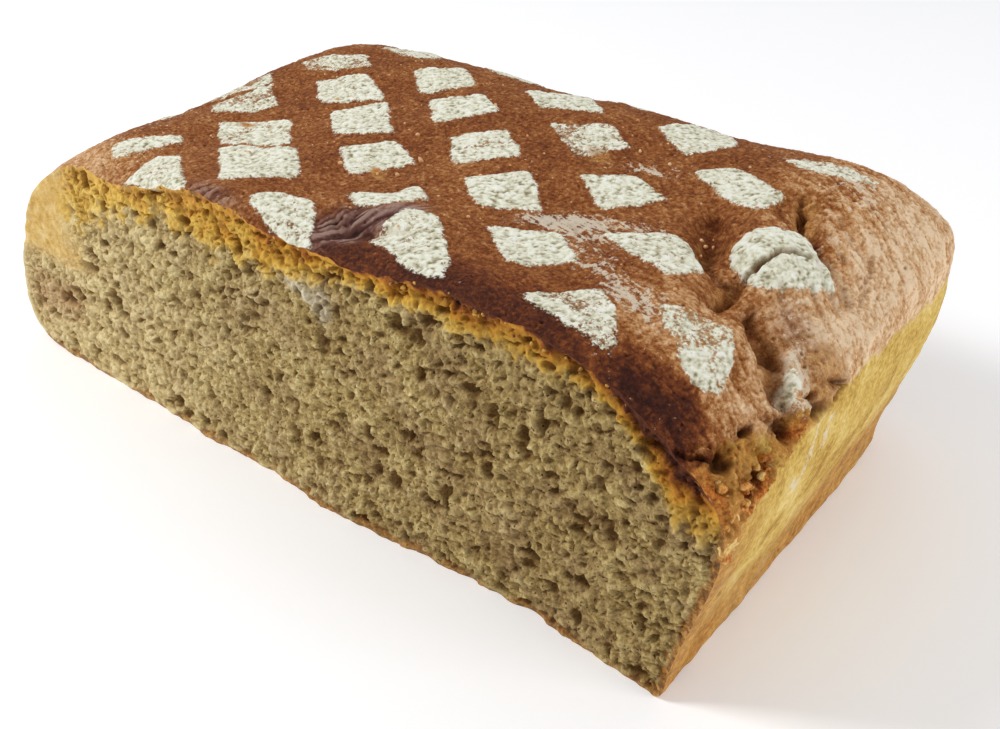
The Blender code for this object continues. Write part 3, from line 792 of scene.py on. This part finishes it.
def skin_texture(points):
    """Wrinkles, pleats and grit of the baked skin: 0 in the grooves, 1 on the ridges, and its pin holes."""
    x, y, z = points.T
    along, across = grain_axes(points)
    folds = abs(grain(points_at(along * 0.5, across, z * 0.6), 0.0016, 99)) - 0.3
    creases = abs(grain(points_at(along * 0.8, across, z), 0.0009, 118)) - 0.3
    drawn = 0.35 + 0.65 * smooth((x - 0.075) / 0.03)
    texture = 0.5 + 1.1 * folds * drawn + 0.7 * creases + 0.3 * grain(points, 0.0007, 121)
    pleat = spot_sum(x, y, PLEATED)
    u, v = x * 0.34 + y * 0.94, x * 0.94 - y * 0.34
    pleats = abs(grain(points_at(u * 0.16, v + 0.0018 * grain(points, 0.006, 122)), 0.0015, 123))
    texture = texture * (1 - 0.8 * pleat) + pleat * (0.8 * (0.1 + 2.0 * pleats))
    pin_holes = hollows(x + y * 0.35, y + z, 0.0032, 94, 0.07, 0.19, 0.45)
    return texture, pleat, pin_holes


def skin_relief(points, normals):
    """The crust's own relief over the plain form, and the fields that its material reads."""
    x, y, z = points.T
    upward = smooth((normals[:, 2] - 0.15) / 0.35)
    flour, wear, dust = flour_fields(points)
    floured = smooth((flour - 0.47) / 0.08) * upward * np.clip(1 - 0.8 * wear, 0, 1)
    texture, pleat, pin_holes = skin_texture(points)
    pin_holes = pin_holes * smooth((normals[:, 2] - 0.45) / 0.25)
    fluff = layered(points, (0.4, 0.0012, 95), (0.7, 0.0007, 96))
    height = layered(points, (0.00034, 0.0055, 91), (0.0002, 0.0024, 92)) - 0.8 * pin_holes
    height = height + floured * (0.00042 + 0.00032 * fluff)
    # Painted shade: pin holes are darkened, and below, the creases a little and the split fully.
    painted_shade = smooth(pin_holes / 0.0006) * 0.6 * (1 - floured)
    xw = x + layered(points, (0.0007, 0.003, 97), (0.0004, 0.0012, 124))
    yw = y + layered(points, (0.0007, 0.003, 98), (0.0004, 0.0012, 125))
    strength = 0.75 + 0.45 * grain(points, 0.005, 100)
    for index, (line, width, depth, rim) in enumerate(CREASES):
        away = line_distance(xw, yw, line) / (width / 1000)
        split = index == SPLIT_LINE
        dip = np.exp(-away ** (4 if split else 2)) * upward * strength
        valley = 0.0 if split else 0.3 * np.exp(-(away / 2.6) ** 2) * upward
        height = height - depth / 1000 * (dip + valley)
        painted_shade = np.maximum(painted_shade, np.clip(dip, 0, 1) * (1.0 if split else 0.22 * depth))
        height = height + rim / 1000 * np.exp(-(away - 2.0) ** 2 * 1.5) * strength * upward
    wrinkle = 0.55 + 0.35 * smooth((x - 0.085) / 0.02) + 0.2 * grain(points, 0.014, 90) + 0.7 * pleat
    skin = np.clip(wrinkle, 0, 1.5) * upward * (1 - floured)
    along, across = grain_axes(points)
    swell = grain(points_at(along * 0.35, across), 0.003, 129)
    height = height + (0.0005 * (texture - 0.5) + 0.0003 * swell * smooth((x - 0.08) / 0.025)) * skin
    texture = texture + 0.3 * swell * smooth((x - 0.08) / 0.025)
    texture = texture * (1 - floured) + floured * (0.5 + 0.7 * fluff)
    return height, painted_shade, flour, wear, dust, upward, texture, pleat


def side_relief(points, normals, height, painted_shade):
    """The side walls: finely pitted straw-coloured crust, torn into crags near the cut's right corner."""
    x, y, z = points.T
    side = 1 - smooth((normals[:, 2] - 0.15) / 0.35)
    across = np.where(abs(normals[:, 0]) > abs(normals[:, 1]), y, x)
    pits = 0.8 * hollows(across + 0.0006 * grain(points, 0.002, 101), z, 0.003, 102, 0.06, 0.26, 0.5)
    tear, zone = tear_line(y), torn_zone(points)
    yw = y + 0.001 * grain(points, 0.003, 104)
    zw = z + 0.001 * grain(points, 0.003, 105)
    caves = np.maximum(1.3 * hollows(yw, zw * 0.9, 0.0052, 106, 0.18, 0.46, 0.75),
                       1.2 * hollows(yw + 0.01, zw, 0.0024, 107, 0.22, 0.48, 0.85))
    rough = layered(points, (0.0008, 0.003, 119), (0.0007, 0.0014, 120), (0.0004, 0.0008, 131))
    height = height - pits * side * 0.8 + zone * (0.0007 + rough - caves)
    pits = np.maximum(pits, caves * zone)
    wander = layered(points_at(y, y * 0), (0.0016, 0.006, 108), (0.0008, 0.0022, 126))
    gap = np.exp(-((z - tear - 0.0008 - wander) / 0.0008) ** 2) * (x > 0.09) * smooth((-y - 0.009) / 0.008)
    gap = gap * smooth((grain(points, 0.004, 109) - 0.02) / 0.3)
    for hole_y, hole_z, wide, high in np.array(TEAR_HOLES) / 1000:
        reach = ((yw - hole_y) / wide) ** 2 + ((zw - hole_z) / high) ** 2
        gap = np.maximum(gap, np.exp(-reach**2) * 1.2 * (x > 0.09))
    # Painted shade: the gaps under the tear, and the pits and caves of the side, are darkened.
    painted_shade = np.maximum(painted_shade, np.minimum(gap, 1) * 0.95)
    return height - gap * 0.0026, np.maximum(painted_shade, smooth(pits / 0.0022) * 0.75 * side), side, zone


def skin_tone(points):
    """How light the brown skin is: darker along the cut, lighter at the right end and on the left shoulder."""
    x, y, z = points.T
    near_cut = (1 - smooth((y - CUT_Y - 0.005) / 0.016)) * smooth((x + 0.015) / 0.04)
    tan = 0.37 + 0.22 * smooth((x - 0.075) / 0.035)
    tan = tan + 0.3 * smooth((x - 0.104) / 0.02) * smooth((y + 0.075) / 0.07)
    tan = tan + 0.26 * smooth((-x - 0.055) / 0.025) * smooth((-y - 0.04) / 0.02)
    tan = tan - 0.33 * near_cut * (1 - smooth((x - 0.112) / 0.01)) + 0.06 * grain(points, 0.016, 113)
    tan = tan - 0.1 * (1 - smooth((z - 0.06) / 0.015)) + spot_sum(x, y, TONE_SPOTS)
    along, across = grain_axes(points)
    folds = abs(grain(points_at(along * 0.24, across), 0.0042, 139))
    return tan - 0.13 * smooth((0.22 - folds) / 0.22) * smooth((x - 0.092) / 0.02)


def crust_fields(points, normals):
    """The relief of the finished crust over the plain form, and the fields that its material reads."""
    x, y, z = points.T
    height, painted_shade, flour, wear, dust, upward, texture, pleat = skin_relief(points, normals)
    height, painted_shade, side, zone = side_relief(points, normals, height, painted_shade)
    away = smooth((0.125 - x) / 0.05)
    tear = np.where(x > 0, tear_line(y), 0.05 + 0.01 * smooth((y + 0.02) / 0.07))
    tear = tear + 0.004 * away * grain(points, 0.03, 134)
    wander = layered(points, (0.0016, 0.005, 111), (0.0008, 0.002, 112))
    below = smooth((tear + 0.001 + wander - z) / (0.0022 + 0.01 * away) + 0.35 * away)
    foot = 0.022 + 0.01 * smooth((y + 0.02) / 0.07) + layered(points, (0.008, 0.028, 135), (0.004, 0.009, 114))
    foot = smooth((foot - z) / 0.018 + 0.35)
    corner = smooth((CUT_Y + 0.026 - y + 0.005 * grain(points, 0.008, 130)) / 0.024) * (x > 0.09)
    toast = np.maximum(np.maximum(foot * 0.7, corner * 0.78), zone * (0.44 + 0.4 * grain(points, 0.003, 115)))
    smears = sum(np.exp(-(line_distance(y, z, line) / 0.0016) ** 2) for line in WALL_SMEARS)
    return height, {
        "flour": flour * upward,
        "wear": wear,
        "dust": dust * upward + 0.65 * smears * (x > 0.09) * side,
        "tan": skin_tone(points),
        "side": below,
        "toast": toast,
        "rust": zone * spot_sum(y, z, RUSTY_PATCHES) * (1.1 + 0.5 * grain(points, 0.002, 136)),
        "painted_shade": painted_shade,
        "streak": 0.5 + 0.18 * grain(points * (1, 1, 0.3), 0.0035, 127) + 0.2 * grain(points, 0.009, 128),
        "texture": texture,
        "pleat": pleat,
        "gold": spot_sum(x, y, GOLD) * upward,
    }


def crust_finish():
    """Brown crust, flour on it, and the straw-coloured to orange-brown side below the tear."""
    f = Finish("crust", 0.66, 0.17)
    fine = f.speckle(0.0006, 3.0, 0.65)
    coarse = f.sum(fine, 0.45, f.speckle(0.0016, 3.0, 0.65), 0.55)
    uneven = f.sum(f.speckle(0.007), 0.2, f.speckle(0.001, 3.0, 0.75), 0.95)
    # The relief's ridges are lighter and its grooves darker: partly the skin's own browning, partly painted
    # shade.
    tone = f.sum(f.field("tan"), 1.0, f.sum(f.field("texture"), 0.28, uneven, 1.0), 1.0)
    brown = f.graded(f.sum(tone, 1.0, tone, -0.4), (
        (0.3, shade(44, 15, 7)), (0.46, shade(80, 35, 14)), (0.6, shade(124, 64, 25)),
        (0.72, shade(164, 104, 52)), (0.84, shade(208, 160, 110)), (1.0, shade(244, 214, 176)),
    ))
    # Pleated skin: purplish, with painted shade in the grooves and painted highlights on the ridges.
    plum = f.graded(f.field("texture"), (
        (0.2, shade(52, 24, 18)), (0.55, shade(106, 66, 56)), (0.9, shade(164, 134, 120)),
    ))
    brown = f.blend(f.share(f.field("pleat"), 0.15, 0.85), brown, plum)
    straw = f.graded(f.sum(f.field("streak"), 0.5, f.speckle(0.0013, 3.0, 0.6), 0.5), (
        (0.34, shade(178, 130, 50)), (0.5, shade(221, 185, 92)), (0.66, shade(243, 219, 146)),
    ))
    toasted = f.graded(f.sum(f.speckle(0.005), 0.45, f.speckle(0.0014, 3.0, 0.65), 0.55), (
        (0.36, shade(126, 68, 26)), (0.5, shade(186, 120, 54)), (0.64, shade(222, 166, 88)),
    ))
    wall = f.blend(f.field("toast"), straw, toasted)
    rusty = f.graded(f.speckle(0.0013, 3.0, 0.7), (
        (0.36, shade(122, 56, 18)), (0.5, shade(192, 104, 36)), (0.64, shade(228, 158, 70)),
    ))
    wall = f.blend(f.field("rust"), wall, rusty)
    colour = f.blend(f.field("side"), brown, wall)
    dusting = f.sum(f.field("dust"), 0.62, f.sum(coarse, 1.9, f.field("texture"), 0.16), 1.0)
    dusty = f.blend(0.76, colour, shade(232, 220, 196))
    colour = f.blend(f.share(dusting, 1.28, 1.46), colour, dusty)
    golden = f.graded(coarse, ((0.4, shade(140, 84, 34)), (0.6, shade(214, 160, 92))))
    broken = f.blend(0.72, colour, golden)
    colour = f.blend(f.share(f.sum(f.field("gold"), 1.0, coarse, 0.9), 0.6, 1.1), colour, broken)
    cover = f.sum(f.field("flour"), 1.0, f.sum(coarse, 0.38, f.field("wear"), -0.16), 1.0)
    # Painted shade and light on the flour: olive-grey in the low parts of its relief, near-white on its tops.
    fluff = f.sum(coarse, 0.55, f.field("texture"), 0.45)
    flour = f.graded(fluff, (
        (0.3, shade(146, 137, 104)), (0.38, shade(196, 190, 162)), (0.47, shade(228, 225, 199)),
        (0.56, shade(243, 242, 222)), (0.68, shade(252, 251, 238)),
    ))
    specks = f.sum(coarse, 1.0, f.field("wear"), -0.5)
    # Painted shade: the crust darkens to near black in pin holes, creases, the split, pits and the gaps under the
    # tear.
    painted_hollow_shade = f.graded(f.field("painted_shade"), (
        (0.0, (1.0, 1.0, 1.0, 1.0)), (0.4, (0.62, 0.5, 0.4, 1.0)), (1.0, (0.16, 0.09, 0.05, 1.0)),
    ))
    thin = f.blend(0.45, brown, f.graded(coarse, ((0.4, shade(150, 108, 58)), (0.6, shade(222, 206, 166)))))
    worn = f.blend(f.share(f.sum(f.field("gold"), 1.0, coarse, 0.9), 0.85, 1.15), flour, toasted)
    colour = f.blend(f.share(cover, 0.65, 0.705), colour, f.blend(f.share(specks, 0.24, 0.36), thin, worn))
    colour = f.blend(1.0, colour, painted_hollow_shade, "MULTIPLY")
    return f.coat(colour, f.sum(fine, 0.4, f.speckle(0.0011, 4.0, 0.7), 0.6), 0.0009)


def crust_piece(name, start, across, up, step):
    """One stretch of crust over a face of the plain box."""
    columns = round(float(np.linalg.norm(across)) / step)
    rows = round(float(np.linalg.norm(up)) / step)
    box_points = face_points(start, across, up, columns, rows)
    plain = loaf_surface(box_points)
    normals = outward(plain, columns, rows)
    height, fields = crust_fields(plain, normals)
    to_cut = smooth((box_points[:, 1] - CUT_Y) / EDGE_FADE)
    to_base = smooth(box_points[:, 2] / EDGE_FADE)
    points = plain + normals * (height * to_cut * to_base)[:, None]
    points[:, 2] = np.maximum(points[:, 2], 0.0)
    piece = skin_piece(name, points, columns, rows, fields)
    piece.data.materials.append(crust_material)
    return piece


crust_material = crust_finish()
for index in range(TOP_PIECES):
    width = 2 * HALF_LENGTH / TOP_PIECES
    start = (-HALF_LENGTH + index * width, CUT_Y, CROWN)
    crust_piece(f"top_crust_{index + 1}", start, (width, 0, 0), (0, DEPTH, 0), TOP_STEP)

# The right wall, the left end and the back: the sides that pressed against the pan and the next loaf.
# Their crust is thin and straw-coloured, toasted orange low down and where the top tore away.
WALL_STEP = 0.00036
LEFT_STEP = 0.0006
BACK_STEP = 0.00075
crust_piece("right_wall", (HALF_LENGTH, CUT_Y, 0), (0, DEPTH, 0), (0, 0, CROWN), WALL_STEP)
crust_piece("left_end", (-HALF_LENGTH, BACK_Y, 0), (0, -DEPTH, 0), (0, 0, CROWN), LEFT_STEP)
crust_piece("back_wall", (HALF_LENGTH, BACK_Y, 0), (-2 * HALF_LENGTH, 0, 0), (0, 0, CROWN), BACK_STEP)

# The base: the flat crust that the loaf was baked on, thin, brown and dry, with a trace of flour.
# Nothing of it shows in the photo but its edge, so it is plain and finished like the foot of the walls.
BASE_STEP = 0.0015


def base_finish():
    f = Finish("base_crust", 0.75, 0.25)
    tone = f.sum(f.speckle(0.012), 0.6, f.speckle(0.0016, 4.0, 0.6), 0.4)
    brown = f.graded(tone, (
        (0.34, shade(132, 84, 44)), (0.5, shade(166, 112, 62)), (0.66, shade(196, 146, 90)),
    ))
    colour = f.blend(f.share(f.speckle(0.0045, 4.0, 0.7), 0.54, 0.7), brown, shade(206, 186, 150))
    return f.coat(colour, f.speckle(0.0015, 4.0), 0.0003)


base_columns = round(2 * HALF_LENGTH / BASE_STEP)
base_rows = round(DEPTH / BASE_STEP)
box_points = face_points(
    (HALF_LENGTH, CUT_Y, 0), (-2 * HALF_LENGTH, 0, 0), (0, DEPTH, 0), base_columns, base_rows)
base = skin_piece("base_crust", loaf_surface(box_points), base_columns, base_rows, {})
base.data.materials.append(base_finish())

# Crags: where the top crust tore away from the right wall, the crumb broke out in lumps that browned in the
# oven. They are part of the loaf, so the lumps are fused into rough masses that are rooted in the wall.
CRAG_TRIES = 700
CRAG_RADIUS = (0.0005, 0.0012)
CRAG_VOXEL = 0.00028
# The golden lump at the corner of the cut, as balls on the wall: y, z, radius
CORNER_LUMP = (
    (-63.6, 55.6, 1.6), (-62.8, 53, 2), (-64, 50.2, 1.6),
    (-60.8, 54.5, 1.5), (-61.4, 51.2, 1.4), (-64.8, 53.2, 1.3), (-62.2, 57.5, 1.2),
)
rng = np.random.default_rng(17)


def crag_finish():
    f = Finish("browned_crag", 0.62, 0.3)
    tone = f.sum(f.speckle(0.005, 2.0), 0.6, f.speckle(0.0012, 3.0, 0.65), 0.5)
    brown = f.graded(tone, (
        (0.42, shade(150, 80, 30)), (0.5, shade(204, 130, 52)),
        (0.57, shade(222, 168, 86)), (0.66, shade(238, 210, 138)),
    ))
    # Painted shade: the lumps darken to dark brown where they sink between the bumps.
    painted_hollow_shade = f.graded(f.field("painted_shade"), (
        (0.0, (1.0, 1.0, 1.0, 1.0)), (0.5, (0.6, 0.46, 0.3, 1.0)), (1.0, (0.24, 0.13, 0.06, 1.0)),
    ))
    return f.coat(f.blend(1.0, brown, painted_hollow_shade, "MULTIPLY"), f.speckle(0.0006, 3.0), 0.0004)


def crag_places():
    """Centres and radii of the lumps: strewn over the torn strip just under its surface, and at the corner."""
    y, z = rng.uniform((CUT_Y + 0.001, 0.04), (-0.016, CROWN), (CRAG_TRIES, 2)).T
    surface = loaf_surface(points_at(y * 0 + HALF_LENGTH, y, z))
    zone = torn_zone(surface)
    clear = np.full(CRAG_TRIES, True)
    for hole_y, hole_z, wide, high in np.array(TEAR_HOLES) / 1000:
        clear &= np.hypot((surface[:, 1] - hole_y) / wide, (surface[:, 2] - hole_z) / high) > 1.3
    for place in surface[clear & (zone > 0.85) & (surface[:, 2] < tear_line(surface[:, 1]) - 0.003)]:
        radius = CRAG_RADIUS[0] + (CRAG_RADIUS[1] - CRAG_RADIUS[0]) * rng.random() ** 2
        inward = np.array((0.1, place[1], 0.045)) - place
        yield place + inward / np.linalg.norm(inward) * radius * (0.4 + 0.45 * rng.random()), radius
    for y, z, radius in np.array(CORNER_LUMP) / 1000:
        yield np.array((float(wall_reach(1.0, z)) - radius * 0.45, y, z)), radius


bpy.ops.object.select_all(action="DESELECT")
lumps = []
for place, radius in crag_places():
    bpy.ops.mesh.primitive_ico_sphere_add(subdivisions=3, radius=radius, location=place - MIDDLE)
    lumps.append(bpy.context.object)
for lump in lumps:
    lump.select_set(True)
bpy.ops.object.join()
crags = bpy.context.object
crags.name = crags.data.name = "crags"
bpy.ops.object.transform_apply(location=True, rotation=True, scale=True)
fuse = crags.modifiers.new("fuse", "REMESH")
fuse.mode = "VOXEL"
fuse.voxel_size = CRAG_VOXEL
bpy.ops.object.modifier_apply(modifier="fuse")
count = len(crags.data.vertices)
surface, facing = np.zeros(count * 3, np.float32), np.zeros(count * 3, np.float32)
crags.data.vertices.foreach_get("co", surface)
crags.data.vertices.foreach_get("normal", facing)
surface, facing = surface.reshape(-1, 3).astype(float), facing.reshape(-1, 3).astype(float)
bumps = layered(surface, (0.0005, 0.0022, 138), (0.0005, 0.0011, 132), (0.0004, 0.0007, 133))
crags.data.vertices.foreach_set("co", (surface + facing * bumps[:, None]).astype(np.float32).ravel())
# Painted shade in the crevices: the lower a point lies among the bumps, the darker it is.
painted_shade = crags.data.attributes.new("painted_shade", "FLOAT", "POINT")
painted_shade.data.foreach_set("value", smooth((0.0001 - bumps) / 0.0013).astype(np.float32))
bpy.ops.object.shade_smooth_by_angle(angle=math.radians(80))
crags.data.materials.append(crag_finish())
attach(crags, "root")
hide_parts("loaf")

# Crumbs: bits of golden crumb that the knife dragged along the cut's upper edge, and a few that fell on top.
# Each is a small rough ball stuck to the crust, all of one kind joined into one mesh.
EDGE_CRUMBS = 90
TOP_CRUMBS = 130
PLACED_CRUMBS = ((-61, 2), (-6, -5), (7, -16), (-15, -29), (-54, -37), (96, -31), (70, -14), (88, -4))


def strewn(name, places, radii, material):
    """Small lumps as one mesh: a ball, copied to each place in its own size, turn and shape."""
    bpy.ops.object.select_all(action="DESELECT")
    bpy.ops.mesh.primitive_ico_sphere_add(subdivisions=2, radius=1)
    ball = bpy.context.object
    shape = np.array([vertex.co for vertex in ball.data.vertices])
    faces = np.array([face.vertices for face in ball.data.polygons])
    bpy.data.objects.remove(ball)
    points = []
    for place, radius in zip(places, radii):
        turn, _ = np.linalg.qr(rng.normal(size=(3, 3)))
        turn *= np.sign(np.linalg.det(turn))
        lumpy = shape * (1 + 0.35 * grain(shape + rng.random(3) * 9, 0.9, 141))[:, None]
        points.append(lumpy * (0.7 + 0.6 * rng.random(3)) * radius @ turn.T + place - MIDDLE)
    mesh = bpy.data.meshes.new(name)
    rows = [faces + index * len(shape) for index in range(len(points))]
    mesh.from_pydata(np.concatenate(points).tolist(), [], np.concatenate(rows).tolist())
    piece = bpy.data.objects.new(name, mesh)
    bpy.context.collection.objects.link(piece)
    mesh.shade_smooth()
    mesh.materials.append(material)
    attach(piece, "root")
    return piece


def crumb_bit_finish(name, dark, light):
    f = Finish(name, 0.7, 0.25)
    colour = f.graded(f.speckle(0.003, 3.0), ((0.36, dark), (0.64, light)))
    return f.coat(colour, f.speckle(0.0005), 0.0002)


x = rng.uniform(-0.095, 0.112, EDGE_CRUMBS)
drop = rng.random(EDGE_CRUMBS) ** 1.5 * 0.0045
edge = loaf_surface(points_at(x, x * 0 + CUT_Y, CROWN - drop))
edge[:, 1] += rng.uniform(0.0, 0.0007, EDGE_CRUMBS)
strewn("edge_crumbs", edge, rng.uniform(0.00025, 0.00055, EDGE_CRUMBS),
       crumb_bit_finish("edge_crumb", shade(116, 62, 24), shade(226, 176, 84)))
spots = rng.uniform((-0.09, -0.05), (0.105, 0.045), (TOP_CRUMBS, 2))
spots = np.concatenate((spots, np.array(PLACED_CRUMBS) / 1000))
top = loaf_surface(points_at(spots[:, 0], spots[:, 1], spots[:, 0] * 0 + CROWN))
sizes = np.concatenate((rng.uniform(0.0002, 0.0005, TOP_CRUMBS), rng.uniform(0.0006, 0.001, len(PLACED_CRUMBS))))
strewn("loose_crumbs", top, sizes, crumb_bit_finish("loose_crumb", shade(206, 140, 84), shade(240, 200, 150)))
